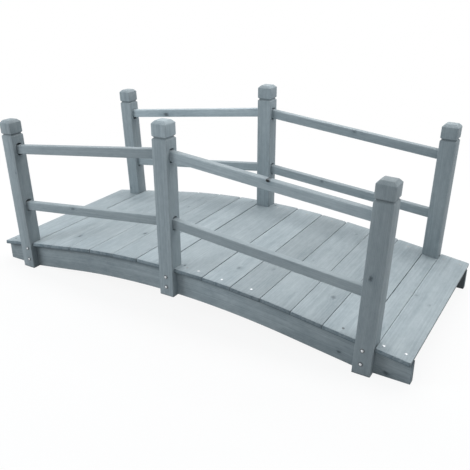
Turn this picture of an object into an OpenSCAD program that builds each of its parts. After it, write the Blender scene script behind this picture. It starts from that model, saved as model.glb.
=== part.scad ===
// Arched timber garden bridge: two arched stringers, six lapped posts, eight mortised rails
// and fifteen cross boards. X runs along the bridge, Y across it, and the ground is z = 0.

/* [Stringers] */
// Length of each stringer, end to end
stringer_l = 1500; // [1420:5:1800]
// Thickness of each stringer, across the bridge
stringer_t = 22; // [16:0.5:23]
// Depth of each stringer, square to its arched top edge
stringer_depth = 82; // [70:1:110]
// Height of the stringers' top edge above the ground, at mid span
crown_h = 141; // [125:1:200]
// Radius of the arched middle of the stringers' top edge
arch_r = 2930; // [2400:10:4000]
// Half the length of the arched middle; beyond it the top edge runs straight
arch_half_l = 416; // [300:1:520]

/* [Posts] */
// Width over the outer faces of the posts, across the bridge
bridge_w = 670; // [500:5:1000]
// Side of the square posts
post_size = 51; // [46:0.5:60]
// Distance from the end posts' middle to the stringers' ends, at the stringers' top edge
post_inset = 117; // [90:1:160]
// Outward lean of the end posts, in degrees
end_post_lean = 2; // [0:0.25:5]
// Height of the middle posts above the stringers' top edge
mid_post_rise = 464; // [420:1:600]
// Height of the end posts above the stringers' top edge
end_post_rise = 457; // [420:1:600]
// Thickness of the lap that runs down the outer face of the stringer
lap_t = 25; // [20:0.5:30]
// Height of the cap above the groove
cap_h = 43; // [30:1:60]
// Width of the V groove below the cap
groove_w = 10; // [4:0.5:14]
// Chamfer round the top of the cap
cap_chamfer = 9; // [3:0.5:12]
// Radius of the caps' upright edges
cap_edge_r = 3; // [1:0.5:8]
// Radius of the posts' upright edges
post_edge_r = 2.5; // [1:0.5:8]

/* [Rails] */
// Height of the rails' section
rail_h = 30; // [24:0.5:36]
// Thickness of the rails' section
rail_t = 22; // [18:0.5:26]
// Radius of the rails' long edges
rail_edge_r = 4; // [2:0.5:8]
// Height of the upper rails above the ground, at the middle posts
upper_rail_mid_h = 508; // [460:1:540]
// Height of the upper rails above the ground, at the end posts
upper_rail_end_h = 435; // [390:1:460]
// Height of the lower rails above the ground, at the middle posts
lower_rail_mid_h = 301; // [240:1:380]
// Height of the lower rails above the ground, at the end posts
lower_rail_end_h = 234; // [180:1:310]
// Length of rail let into each post
tenon_l = 19; // [10:0.5:20]
// Radius of the corners of the slots for the rails
slot_edge_r = 8; // [4:0.5:9]

/* [Deck] */
// Thickness of the boards
board_t = 12; // [8:0.5:20]
// Overhang of the boards past the outer faces of the stringers
board_overhang = 17; // [5:0.5:22]
// Gap between boards
board_gap = 2; // [1:0.5:8]
// Radius of the boards' upper long edges
board_edge_r = 2.5; // [0.5:0.5:4]
// Width taken up by the wide board at the middle posts, gap included
mid_board_pitch = 154; // [100:1:200]
// Length of stringer left bare at the right end
bare_end = 1; // [0:0.5:10]

/* [Hidden] */
// Shares of the left bay, and of the right bay after the wide middle board, that each board takes up
left_bay_shares = [0.167, 0.158, 0.16, 0.176, 0.174, 0.165];
right_bay_shares = [0.203, 0.199, 0.203, 0.2, 0.195];
// Space left between a board and what it rests on, and between a board and a post's shoulder
seat_gap = 0.2;
// Space left between a board's notch and the lap in it
notch_gap = 0.5;
// Space left between a rail's side and its slot
slot_gap = 0.3;
// Space left above and below a rail, in its slot
slot_over = 6;
// Space left between a rail's end and the bottom of its slot
slot_end_gap = 1;
// How far a cut runs past what it cuts
overrun = 20;
$fn = 96;
// Number of steps along each half of the stringers' arc
arc_steps = 32;

wood_colour = "#7f8d94";
deck_colour = "#aab5ba";

ramp_angle = asin(arch_half_l / arch_r);
// Length of a straight ramp, past the stringer's end
ramp_l = stringer_l / 2 - arch_half_l + stringer_depth;
stringer_outer_y = bridge_w / 2 - lap_t;
board_half_l = stringer_outer_y + board_overhang;
post_y = bridge_w / 2 - post_size / 2;
post_spacing = stringer_l / 2 - post_inset;
deck_left = -stringer_l / 2;
deck_right = stringer_l / 2 - bare_end;

// Sum of the first shares of a list
function sum_to(shares, n) = n == 0 ? 0 : shares[n - 1] + sum_to(shares, n - 1);

// Joints between the boards, from left to right: each board lies between two of them
left_bay_start = -post_spacing + post_size / 2;
right_bay_start = -post_size / 2 + mid_board_pitch;
right_bay_end = post_spacing - post_size / 2;
left_bay_l = -post_size / 2 - left_bay_start;
right_bay_l = right_bay_end - right_bay_start;
joints = concat(
    [deck_left],
    [for (i = [0 : len(left_bay_shares)]) left_bay_start + left_bay_l * sum_to(left_bay_shares, i)],
    [for (i = [0 : len(right_bay_shares)]) right_bay_start + right_bay_l * sum_to(right_bay_shares, i)],
    [post_spacing + post_size / 2, deck_right]
);
mid_board = len(left_bay_shares) + 1;
post_board = len(joints) - 3;

// Height and slope of the stringers' top edge at a place along the bridge
function arc_drop(x) = arch_r - sqrt(arch_r * arch_r - x * x);
function ramp_drop(x) = max(abs(x) - arch_half_l, 0) * tan(ramp_angle);
function arch_z(x) = crown_h - arc_drop(min(abs(x), arch_half_l)) - ramp_drop(x);
function arch_angle(x) = sign(x) * asin(min(abs(x), arch_half_l) / arch_r);

// Edge of a stringer from left to right: points along the arc, and one past the end of each straight ramp
function arc_point(r, a) = [r * sin(a), crown_h - arch_r + r * cos(a)];
function ramp_point(r, s) = arc_point(r, s * ramp_angle) + ramp_l * [s * cos(ramp_angle), -sin(ramp_angle)];
function arch_edge(r) = concat(
    [ramp_point(r, -1)],
    [for (i = [-arc_steps : arc_steps]) arc_point(r, ramp_angle * i / arc_steps)],
    [ramp_point(r, 1)]
);

// Middle of a board, along the bridge
function board_x(i) = (joints[i] + joints[i + 1]) / 2;
// The board that a post's shoulder stands on: place is -1 at the left, 0 in the middle, 1 at the right
function board_under(place) = place < 0 ? 0 : place > 0 ? post_board : mid_board;

// Line of a rail: where an end post's axis crosses the rail's height, and the rail's slope
function end_axis_x(h) = post_spacing + (h - arch_z(post_spacing)) * tan(end_post_lean);
function rail_slope(mid_h, end_h) = atan2(mid_h - end_h, end_axis_x(end_h));

// Puts its children on the stringers' top edge, turned to its slope
module on_arch(x) {
    translate([x, 0, arch_z(x)]) rotate([0, arch_angle(x), 0]) children();
}

// Mirrors its children to the far side
module far() {
    mirror([0, 1, 0]) children();
}

// Mirrors its children to the left bay
module left() {
    mirror([1, 0, 0]) children();
}

// Rectangle with four rounded corners, centred
module rounded_rect(w, h, r) {
    square([w - 2 * r, h], center = true);
    square([w, h - 2 * r], center = true);
    for (sx = [-1, 1], sy = [-1, 1])
        translate([sx * (w / 2 - r), sy * (h / 2 - r)]) circle(r);
}

// Board's section: flat below, upper corners rounded
module board_section(w) {
    translate([-w / 2, 0]) square([w, board_t - board_edge_r]);
    translate([-w / 2 + board_edge_r, 0]) square([w - 2 * board_edge_r, board_t]);
    for (s = [-1, 1])
        translate([s * (w / 2 - board_edge_r), board_t - board_edge_r]) circle(board_edge_r);
}

// Side of a stringer: an arched band with straight ends, cut flat at the ground and upright at its ends
module stringer_outline() {
    top = arch_edge(arch_r);
    under = arch_edge(arch_r - stringer_depth);
    last = len(under) - 1;
    intersection() {
        polygon(concat(top, [for (i = [0 : last]) under[last - i]]));
        translate([-stringer_l / 2, 0]) square([stringer_l, crown_h + overrun]);
    }
}

// Stringer on the near side
module stringer() {
    color(wood_colour)
        translate([0, -stringer_outer_y + stringer_t, 0])
            rotate([90, 0, 0]) linear_extrude(stringer_t) stringer_outline();
}

// Upright post with its groove and cap, reaching down past any stringer; shaft and cap overlap in the groove
module post_blank(rise) {
    groove_side = groove_w / sqrt(2);
    chamfer_side = cap_chamfer * sqrt(2);
    groove_z = rise - cap_h - groove_w / 2;
    cap_z = groove_z - groove_w / 8;
    reach = post_size + 2 * overrun;
    difference() {
        union() {
            translate([0, 0, -crown_h - overrun])
                linear_extrude(groove_z + crown_h + overrun) rounded_rect(post_size, post_size, post_edge_r);
            translate([0, 0, cap_z])
                linear_extrude(rise - cap_z) rounded_rect(post_size, post_size, cap_edge_r);
        }
        for (turn = [0 : 90 : 270]) rotate(turn) {
            translate([post_size / 2, 0, groove_z])
                rotate([0, 45, 0]) cube([groove_side, reach, groove_side], center = true);
            translate([post_size / 2, 0, rise])
                rotate([0, 45, 0]) cube([chamfer_side, reach, chamfer_side], center = true);
        }
    }
}

// What a post's notch takes out: all that is inside the lap and under the board it stands on
module shoulder_cut(place) {
    top = board_t + 2 * seat_gap;
    on_arch(board_x(board_under(place)))
        translate([-stringer_l, -stringer_outer_y, top - 2 * crown_h])
            cube([2 * stringer_l, post_size + overrun, 2 * crown_h]);
}

// Post on the near side: place is -1 at the left, 0 in the middle, 1 at the right
module post(place) {
    rise = place == 0 ? mid_post_rise : end_post_rise;
    foot_z = place == 0 ? crown_h - stringer_depth : 0;
    x = place * post_spacing;
    color(wood_colour)
        difference() {
            translate([x, -post_y, arch_z(x)])
                rotate([0, place * end_post_lean, 0]) post_blank(rise);
            shoulder_cut(place);
            translate([x - post_spacing / 2, -bridge_w, foot_z - 2 * crown_h])
                cube([post_spacing, bridge_w, 2 * crown_h]);
            if (place >= 0) bay_slots();
            if (place <= 0) left() bay_slots();
        }
}

// Lays a section along the line of a near right rail, running past both its ends by a given length
module along_rail(mid_h, end_h, extra) {
    slope = rail_slope(mid_h, end_h);
    start_x = post_size / 2 - tenon_l;
    end_x = end_axis_x(end_h) - post_size / 2 / cos(end_post_lean) + tenon_l;
    translate([start_x, -post_y, mid_h - start_x * tan(slope)])
        rotate([0, slope, 0])
            translate([-extra, 0, 0])
                rotate([90, 0, 90])
                    linear_extrude((end_x - start_x) / cos(slope) + 2 * extra) children();
}

module rail(mid_h, end_h) {
    color(wood_colour) along_rail(mid_h, end_h, 0) rounded_rect(rail_t, rail_h, rail_edge_r);
}

module upper_rail() {
    rail(upper_rail_mid_h, upper_rail_end_h);
}

module lower_rail() {
    rail(lower_rail_mid_h, lower_rail_end_h);
}

// Section of a rail's slot
module slot_section() {
    rounded_rect(rail_t + 2 * slot_gap, rail_h + 2 * slot_over, slot_edge_r);
}

// Slots for the two rails of the near right bay
module bay_slots() {
    along_rail(upper_rail_mid_h, upper_rail_end_h, slot_end_gap) slot_section();
    along_rail(lower_rail_mid_h, lower_rail_end_h, slot_end_gap) slot_section();
}

// Space that a lap needs in the overhang of a board, on the near side
module lap_notch(place) {
    x = place * post_spacing;
    w = post_size + 2 * notch_gap;
    translate([x, -stringer_outer_y + notch_gap, arch_z(x)])
        rotate([0, place * end_post_lean, 0])
            translate([-w / 2, -lap_t - overrun, -crown_h])
                cube([w, lap_t + overrun, 2 * crown_h]);
}

// One deck board, counted from the left
module deck_board(i) {
    x = board_x(i);
    w = (joints[i + 1] - joints[i]) / cos(arch_angle(x)) - board_gap;
    color(deck_colour)
        difference() {
            on_arch(x)
                translate([0, 0, seat_gap])
                    rotate([90, 0, 0])
                        linear_extrude(2 * board_half_l, center = true) board_section(w);
            if (i == 0 || i == mid_board || i == post_board) {
                place = i == 0 ? -1 : i == mid_board ? 0 : 1;
                lap_notch(place);
                far() lap_notch(place);
            }
        }
}

stringer();  // stringer_near
far() stringer();  // stringer_far
post(-1);  // post_near_left
post(0);  // post_near_mid
post(1);  // post_near_right
far() post(-1);  // post_far_left
far() post(0);  // post_far_mid
far() post(1);  // post_far_right
left() upper_rail();  // rail_near_left_upper
left() lower_rail();  // rail_near_left_lower
upper_rail();  // rail_near_right_upper
lower_rail();  // rail_near_right_lower
far() left() upper_rail();  // rail_far_left_upper
far() left() lower_rail();  // rail_far_left_lower
far() upper_rail();  // rail_far_right_upper
far() lower_rail();  // rail_far_right_lower
deck_board(0);  // deck_board_01
deck_board(1);  // deck_board_02
deck_board(2);  // deck_board_03
deck_board(3);  // deck_board_04
deck_board(4);  // deck_board_05
deck_board(5);  // deck_board_06
deck_board(6);  // deck_board_07
deck_board(7);  // deck_board_08
deck_board(8);  // deck_board_09
deck_board(9);  // deck_board_10
deck_board(10);  // deck_board_11
deck_board(11);  // deck_board_12
deck_board(12);  // deck_board_13
deck_board(13);  // deck_board_14
deck_board(14);  // deck_board_15
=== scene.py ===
import math
import random
from contextlib import contextmanager

import bmesh
import bpy
import numpy as np
from bpy.props import FloatProperty, FloatVectorProperty, IntProperty, PointerProperty
from mathutils import Matrix, Vector


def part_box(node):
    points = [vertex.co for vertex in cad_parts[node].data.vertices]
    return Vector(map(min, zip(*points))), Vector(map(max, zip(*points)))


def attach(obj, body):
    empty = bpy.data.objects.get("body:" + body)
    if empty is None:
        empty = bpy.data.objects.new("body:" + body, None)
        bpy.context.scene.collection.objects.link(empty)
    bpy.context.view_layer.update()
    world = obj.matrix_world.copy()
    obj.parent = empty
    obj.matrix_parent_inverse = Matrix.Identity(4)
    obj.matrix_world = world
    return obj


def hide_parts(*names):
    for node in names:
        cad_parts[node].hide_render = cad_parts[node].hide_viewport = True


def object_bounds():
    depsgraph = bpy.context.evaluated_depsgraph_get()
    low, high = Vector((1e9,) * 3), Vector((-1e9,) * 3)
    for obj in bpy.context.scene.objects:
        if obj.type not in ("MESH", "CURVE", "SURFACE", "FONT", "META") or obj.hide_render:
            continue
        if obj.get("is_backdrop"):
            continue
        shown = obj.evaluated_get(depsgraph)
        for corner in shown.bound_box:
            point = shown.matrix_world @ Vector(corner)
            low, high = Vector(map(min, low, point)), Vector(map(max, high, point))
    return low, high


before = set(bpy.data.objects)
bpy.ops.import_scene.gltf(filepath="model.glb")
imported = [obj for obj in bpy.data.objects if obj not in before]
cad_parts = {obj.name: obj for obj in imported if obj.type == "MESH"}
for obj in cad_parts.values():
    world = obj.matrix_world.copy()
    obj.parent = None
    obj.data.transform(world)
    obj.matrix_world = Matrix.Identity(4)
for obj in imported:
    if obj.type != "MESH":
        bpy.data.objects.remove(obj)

bl_info = {
    "name": "Arched Garden Bridge",
    "version": (1, 0, 0),
    "blender": (4, 5, 0),
    "location": "View3D > Sidebar > Bridge",
    "description": "Dresses an arched timber garden bridge: timbers, fixings, stain and a studio stage",
    "category": "Add Mesh",
}

BODY = "root"
CAD_LOW, CAD_HIGH = (corner.copy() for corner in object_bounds())
MM = 0.001
# How near points have to be to count as being in one place
HAIR = 0.1 * MM

# Sides along y, and the places of posts and rails along x, with the words for them in the pieces' names
SIDES = ((-1, "near"), (1, "far"))
POST_PLACES = ((-1, "left"), (0, "mid"), (1, "right"))
RAIL_HANDS = ((-1, "left"), (1, "right"))
CORNERS = ((-1, -1), (-1, 1), (1, -1), (1, 1))
BOARDS = sorted(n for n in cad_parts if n.startswith("deck_board"))
# The board that the posts stand on at each place, counted from the left
POST_BOARDS = {-1: 0, 0: 7, 1: 13}

# Tones of the stain, and the share of its colour that one step of tone adds. The darkest tone paints shade on
# the stringers' inner faces, the last board's right side and the posts' grooves, and darkens the posts' feet
DARKEST, DARK, DULL, EVEN, PALE, BLEACHED = -4.0, -1.0, -0.7, 0.0, 0.9, 2.8
TONE_SHARE = 0.1
# A knot has a place along and across its timber, a radius and one of these depths
FAINT, CLEAR, DEEP, HOLE = 0.3, 0.6, 1.0, 2.0
KNOTS_PER_TIMBER = 3
FAR_AWAY = 9.0
NO_KNOT = (FAR_AWAY, FAR_AWAY, 10 * MM, 0.0)
# Each timber draws its seed and its pith's depth in millimetres from these ranges
SEEDS = (0, 10)
MIDDLE_SEED = sum(SEEDS) / 2
PITH_DEPTHS = (18, 55)

# Layers of the grain: how many go to a metre along and across the timber, then detail and roughness
GRAIN = {
    "wander": (1.7, 5.0, 2.0, 0.55),
    "fibre": (9.0, 620.0, 2.0, 0.6),
    "streak": (1.6, 95.0, 3.0, 0.75),
    "cloud": (4.5, 11.0, 2.0, 0.55),
    "mottle": (38.0, 110.0, 3.0, 0.75),
    "flecks": (26.0, 900.0, 1.0, 0.55),
    "blotch": (14.0, 26.0, 3.0, 0.6),
}
# Bands along a timber's edges, in millimetres: full up to here, gone from here, and how far they stray
BANDS = {
    "worn": (0.6, 4.2, 3.0),
    # Dark sawn ends: stain soaked into end grain, with painted shade on the end faces
    "soaked": (0.4, 2.6, 2.0),
    # Dirt and painted shade along the long edges
    "grime": (0.2, 1.7, 1.6),
    # Painted shade under an overhang, along the upper edge of a face
    "drip": (8.0, 16.0, 6.0),
    # Painted shade on a board's underside and the lower edge of its ends
    "sole": (1.0, 4.0, 4.0),
}
# Growth rings: how far they wander, how far their middle lies aside, and how much they slant, by the seed
RING_WANDER, RING_ASIDE, RING_SLANT = 12 * MM, 4 * MM, 0.0032
# Knots: how long they are drawn, how far they push rings and streaks aside, and how ragged they are
KNOT_LENGTH_SHARE, KNOT_PUSH, STREAK_PUSH, KNOT_RAG = 0.62, 1.5, 220.0, 1.3
# Limits of a knot's heart and of the whorl round it, in radii, and depths at which it turns into a hole,
# painted as dark shade
HEART_LIMITS, WHORL_LIMITS, HOLE_LIMITS = (0.25, 1.2), (0.8, 3.4), (1.1, 1.8)
# How many ragged bits go to a metre of a knot's edge, along, across and through the timber
KNOT_EDGE = (150.0, 150.0, 20.0)
# How sharply the rings darken, and the noise between whose values pale flecks turn dark
RING_SHARPNESS = 2.2
FLECK_LIMITS = (0.2, 0.34)
GRAIN_RELIEF = 0.6 * MM
# Strength of each finish: spacing of the rings, figure of the grain, and stains, dirt and painted shade
TIMBERS = {
    "stained_rails": {"ring_gap": 3.4 * MM, "figure": 0.9},
    "stained_posts": {"ring_gap": 3.8 * MM, "figure": 1.0, "grime": 0.2},
    "stained_stringers": {"ring_gap": 4.2 * MM, "figure": 1.2, "grime": 0.6, "drip": 0.5, "blotch": 1.0},
    "stained_boards": {"ring_gap": 4.4 * MM, "figure": 0.85, "grime": 0.25, "sole": 0.6, "blotch": 0.45},
}
WHITE = (1, 1, 1, 1)


def span(node):
    """Size of a solid's box along x, y and z."""
    low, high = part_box(node)
    return high - low


def stain(code):
    """Linear colour for a colour written as six hexadecimal digits."""
    shares = [int(code[i:i + 2], 16) / 255 for i in (0, 2, 4)]
    return tuple(s / 12.92 if s <= 0.04045 else ((s + 0.055) / 1.055) ** 2.4 for s in shares)


def length(name, description, default, **more):
    return FloatProperty(name=name, description=description, default=default, min=0, precision=4,
                         subtype="DISTANCE", unit="LENGTH", **more)


def colour(name, description, code):
    return FloatVectorProperty(name=name, description=description, default=stain(code), size=3,
                               min=0, max=1, subtype="COLOR")


class BridgeFrameSizes(bpy.types.PropertyGroup):
    """Sizes of the arch and of what carries the deck"""

    stringer_depth: length("Stringer depth", "Depth of a stringer, square to its arched edge", 82 * MM)
    crown_height: length("Crown height", "Height of the stringers' top edge at mid span",
                         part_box("stringer_near")[1].z)
    arch_radius: length("Arch radius", "Radius of the arched middle of the stringers' top edge", 2.93)
    arch_half_length: length("Arch half length", "Beyond this the top edge runs straight", 416 * MM)
    board_thickness: length("Board thickness", "Thickness of the deck boards", 12 * MM)
    board_gap: length("Board gap", "Space between two boards of the solid", 2 * MM)
    board_round: length("Board edge radius", "Radius of the boards' upper long edges", 1.4 * MM)
    end_round: length("Board end radius", "Radius of the upper edges at the boards' ends", 1.6 * MM)
    seat_gap: length("Seat gap", "Space between a board and what it rests on", 0.2 * MM)
    end_wander: length("End wander", "How far a board's ends stray from the deck's edge", 1.4 * MM)
    end_skew: FloatProperty(name="End skew", description="How far a board's ends are out of square",
                            default=math.radians(0.8), subtype="ANGLE", unit="ROTATION")
    chip: length("Chip", "Largest chip off the corners of a board", 4 * MM)
    taper: length("Taper", "What a tapered board loses at its near end", 1.8 * MM)
    right_reach: length("Right reach", "How far the right-hand end runs past the solids", 3.5 * MM)
    far_reach: length("Far reach", "How far the boards' far ends run past the solids", 8 * MM)
    edge_ease: length("Edge easing", "Width of the small bevel on sawn edges", 0.9 * MM)


class BridgeRailingSizes(bpy.types.PropertyGroup):
    """Sizes of the posts and rails"""

    post_side: length("Post side", "Side of the square posts", span("post_near_mid").x)
    post_round: length("Post edge radius", "Radius of the posts' upright edges", 2.5 * MM)
    post_inset: length("Post inset", "From the end posts' middle to the stringers' ends", 117 * MM)
    post_lean: FloatProperty(name="Post lean", description="Outward lean of the end posts",
                             default=math.radians(2), subtype="ANGLE", unit="ROTATION")
    mid_rise: length("Middle post rise", "Height of the middle posts above the stringers", 464 * MM)
    end_rise: length("End post rise", "Height of the end posts above the stringers", 457 * MM)
    lap: length("Lap", "Thickness of the lap outside the stringer", 25 * MM)
    cap_height: length("Cap height", "Height of the cap above the groove", 43 * MM)
    cap_chamfer: length("Cap chamfer", "Chamfer round the top of the cap", 9 * MM)
    cap_round: length("Cap edge radius", "Radius of the caps' upright edges", 3 * MM)
    groove: length("Groove", "Width of the V groove below the cap", 10 * MM)
    dark_foot: length("Damp", "Height of the dark foot of a post", 5 * MM)
    rail_height: length("Rail height", "Height of the rails' section", 30 * MM)
    rail_thickness: length("Rail thickness", "Thickness of the rails' section", 22 * MM)
    rail_round: length("Rail edge radius", "Radius of the rails' long edges", 3.5 * MM)
    tenon: length("Tenon", "Length of rail let into each post", 19 * MM)
    slot_gap: length("Slot gap", "Space between a rail's side and the slot's worn mouth", 0.9 * MM)
    slot_over: length("Slot headroom", "Space above and below a rail in its slot", 6 * MM)
    slot_round: length("Slot corner radius", "Radius of the slots' corners", 8 * MM)
    upper_mid: length("Upper rail, middle", "Height of the upper rails at the middle posts", 508 * MM)
    upper_end: length("Upper rail, end", "Height of the upper rails at the end posts", 435 * MM)
    lower_mid: length("Lower rail, middle", "Height of the lower rails at the middle posts", 301 * MM)
    lower_end: length("Lower rail, end", "Height of the lower rails at the end posts", 234 * MM)


class BridgeFixings(bpy.types.PropertyGroup):
    """Sizes and places of the bolts and nails"""

    washer_radius: length("Washer radius", "Radius of the washer under a bolt head", 6.5 * MM)
    washer_thickness: length("Washer thickness", "Thickness of that washer", 1.2 * MM)
    head_radius: length("Bolt head radius", "Radius of a domed bolt head", 3.8 * MM)
    head_height: length("Bolt head height", "Height of the dome above its washer", 2.8 * MM)
    nail_radius: length("Nail head radius", "Radius of a nail head", 3.9 * MM)
    nail_height: length("Nail head height", "Height of a nail head above the board", 0.6 * MM)
    nail_margin: length("Nail margin", "From a nail to the board's long edge", 18 * MM)
    mid_low: length("Lower bolt, middle posts", "Height above the ground", 89 * MM)
    mid_high: length("Upper bolt, middle posts", "Height above the ground", 123 * MM)
    end_low: length("Lower bolt, end posts", "Height above the ground", 33 * MM)
    end_high: length("Upper bolt, end posts", "Height above the ground", 75 * MM)
    left_shift: length("Left bolt shift", "From a left post's axis towards the middle", 8 * MM)
    right_shift: length("Right bolt shift", "From a right post's axis towards the middle", 3 * MM)


class BridgeFinish(bpy.types.PropertyGroup):
    """Colours of the stain and the metal"""

    stain_light: colour("Light stain", "Stain where the wood is pale and soft", "bdc6c9")
    stain_dark: colour("Dark stain", "Stain where the grain is dense", "8b979d")
    knot: colour("Knot", "Colour of a knot's heart", "4a545a")
    # Painted shade: a hole is not cut, its dark is painted on
    hole: colour("Hole", "Dark of a nail hole", "14181a")
    # End grain colour: stain soaked into sawn ends, and painted shade on the end faces
    end_grain: colour("End grain", "Sawn ends, where stain soaks in", "6c7a82")
    # Colour of dirt, also used for painted shade under the deck's edge and on undersides
    grime: colour("Grime", "Dirt in the joints and under the deck's edge", "5c686e")
    zinc: colour("Zinc", "Plated steel of the bolts and nails", "d9dcde")
    # Weathered plating, also the painted shade ring of dark washer round each bolt head
    dull_zinc_and_shade: colour("Dull zinc", "Weathered plating of the washers", "3a4348")
    floor: colour("Floor", "Pale studio floor", "b4b5b6")
    seed: IntProperty(name="Seed", description="Picks the grain of each timber", default=11, min=0)


class BridgeStage(bpy.types.PropertyGroup):
    """Camera and light"""

    camera_place: FloatVectorProperty(name="Camera place", description="Where the camera stands", size=3,
                                      default=(1.04116, -1.66172, 0.98843), subtype="TRANSLATION",
                                      unit="LENGTH")
    camera_turn: FloatVectorProperty(name="Camera turn", description="How the camera is turned", size=3,
                                     default=tuple(map(math.radians, (66.3711, 1.1407, 32.9095))),
                                     subtype="EULER", unit="ROTATION")
    lens: FloatProperty(name="Lens", description="Focal length in millimetres on a 36 mm sensor",
                        default=47.04, min=1)
    shift: FloatVectorProperty(name="Shift", description="Shift of the lens, as shares of the frame",
                               size=2, default=(0.053, 0.0047))
    sky: FloatProperty(name="Sky", description="Strength of the even light from all round", default=0.27)
    top_power: FloatProperty(name="Top lamp", description="Power of the soft lamp overhead", default=99,
                             unit="POWER")
    left_power: FloatProperty(name="Left lamp", description="Power of the soft lamp at the front left",
                              default=35, unit="POWER")
    right_power: FloatProperty(name="Right lamp", description="Power of the soft lamp at the right end",
                               default=9.6, unit="POWER")
    fill_tint: FloatVectorProperty(name="Fill tint", description="Colour of the light from the sides", size=3,
                                   default=(0.92, 1.0, 1.055), min=0, soft_max=2, subtype="COLOR")


def top_edge(x):
    """Height of the stringers' top edge."""
    s = bpy.context.scene.bridge_frame
    bent = min(abs(x), s.arch_half_length)
    sag = s.arch_radius - math.sqrt(s.arch_radius ** 2 - bent ** 2)
    return s.crown_height - sag - (abs(x) - bent) * math.tan(ramp_angle())


def ramp_angle():
    """Slope of the straight ends of the stringers."""
    s = bpy.context.scene.bridge_frame
    return math.asin(s.arch_half_length / s.arch_radius)


def slope(x):
    """Turn of the stringers' top edge about y."""
    s = bpy.context.scene.bridge_frame
    bent = min(abs(x), s.arch_half_length)
    return math.copysign(math.asin(bent / s.arch_radius), x)


def on_arch(x):
    """Place and turn of something that lies on the stringers at x."""
    return Matrix.Translation((x, 0, top_edge(x))) @ Matrix.Rotation(slope(x), 4, "Y")


def only(piece):
    """Makes one piece the active and only selected one."""
    bpy.ops.object.select_all(action="DESELECT")
    piece.select_set(True)
    bpy.context.view_layer.objects.active = piece


@contextmanager
def editing(piece):
    """Edit mode on one piece, with nothing selected."""
    only(piece)
    bpy.ops.object.mode_set(mode="EDIT")
    bpy.ops.mesh.select_mode(type="VERT")
    bpy.ops.mesh.select_all(action="DESELECT")
    yield
    bpy.ops.object.mode_set(mode="OBJECT")


def pick_edges(piece, wanted):
    """Selects the edges whose two ends pass a test."""
    bpy.ops.mesh.select_mode(type="EDGE")
    bpy.ops.mesh.select_all(action="DESELECT")
    shape = bmesh.from_edit_mesh(piece.data)
    for edge in shape.edges:
        edge.select_set(bool(wanted(edge.verts[0].co, edge.verts[1].co)))
    bmesh.update_edit_mesh(piece.data)


def pick_faces(piece, wanted):
    """Selects the faces whose middle and normal pass a test."""
    bpy.ops.mesh.select_mode(type="FACE")
    bpy.ops.mesh.select_all(action="DESELECT")
    shape = bmesh.from_edit_mesh(piece.data)
    for face in shape.faces:
        face.select_set(bool(wanted(face.calc_center_median(), face.normal)))
    bmesh.update_edit_mesh(piece.data)


def pick_points(piece, wanted):
    """Selects the points that pass a test."""
    bpy.ops.mesh.select_mode(type="VERT")
    bpy.ops.mesh.select_all(action="DESELECT")
    shape = bmesh.from_edit_mesh(piece.data)
    for point in shape.verts:
        point.select_set(bool(wanted(point.co)))
    shape.select_flush_mode()
    bmesh.update_edit_mesh(piece.data)


def along(axis):
    """Test for edges that run along an axis."""
    return lambda a, b: abs((b - a).normalized()[axis]) > 0.99


def slice_at(place, normal, trim=False):
    """Cuts everything with a plane; trim takes away what lies on the normal's side and closes the cut."""
    bpy.ops.mesh.select_all(action="SELECT")
    bpy.ops.mesh.bisect(plane_co=place, plane_no=normal, use_fill=trim, clear_outer=trim, clear_inner=False)


def round_off(radius, segments):
    """Rounds the selected edges."""
    bpy.ops.mesh.bevel(offset=radius, segments=segments, profile=0.5, affect="EDGES")


def just_added(name):
    """The piece that was added last, under its name."""
    piece = bpy.context.object
    piece.name = piece.data.name = name
    return piece


def block(name, size):
    """Squared timber round the origin."""
    bpy.ops.mesh.primitive_cube_add(size=1, location=(0, 0, 0), scale=size)
    piece = just_added(name)
    bpy.ops.object.transform_apply(location=False, rotation=False, scale=True)
    return piece


def twin(piece, name):
    """Copy of a piece with a mesh of its own."""
    only(piece)
    bpy.ops.object.duplicate(linked=False)
    return just_added(name)


def put(piece, place):
    """Moves a piece to its place, with the place kept in its mesh."""
    only(piece)
    piece.matrix_world = place
    bpy.ops.object.transform_apply(location=True, rotation=True, scale=True)


def drop(piece):
    """Takes a helper piece away."""
    only(piece)
    bpy.ops.object.delete()


def carve(piece, cutter):
    """Takes a cutter's shape out of a piece, and removes the cutter."""
    only(piece)
    cut = piece.modifiers.new("cut", "BOOLEAN")
    cut.operation = "DIFFERENCE"
    cut.solver = "EXACT"
    cut.object = cutter
    bpy.ops.object.modifier_apply(modifier=cut.name)
    drop(cutter)


def ease(piece, width, sharp=math.radians(32)):
    """Small bevel on every sharp edge."""
    only(piece)
    soft = piece.modifiers.new("ease", "BEVEL")
    soft.width = width
    soft.segments = 2
    soft.limit_method = "ANGLE"
    soft.angle_limit = sharp
    soft.use_clamp_overlap = True
    bpy.ops.object.modifier_apply(modifier=soft.name)


def smooth(piece, sharp=math.radians(28)):
    """Smooth shading up to an angle."""
    only(piece)
    bpy.ops.object.shade_smooth_by_angle(angle=sharp)


def write_points(piece, name, values):
    """Stores one vector for each point of a piece."""
    layer = piece.data.attributes.new(name, "FLOAT_VECTOR", "POINT")
    layer.data.foreach_set("vector", [number for value in values for number in value])


def grow_wood(piece, place, axes, half, character, knots=()):
    """Gives a timber its grain: place undoes its position, axes names its length, width and thickness."""
    home = place.inverted()
    local = [home @ point.co for point in piece.data.vertices]
    set_grain(piece, [[point[axis] for axis in axes] for point in local], half, character, knots)


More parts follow.
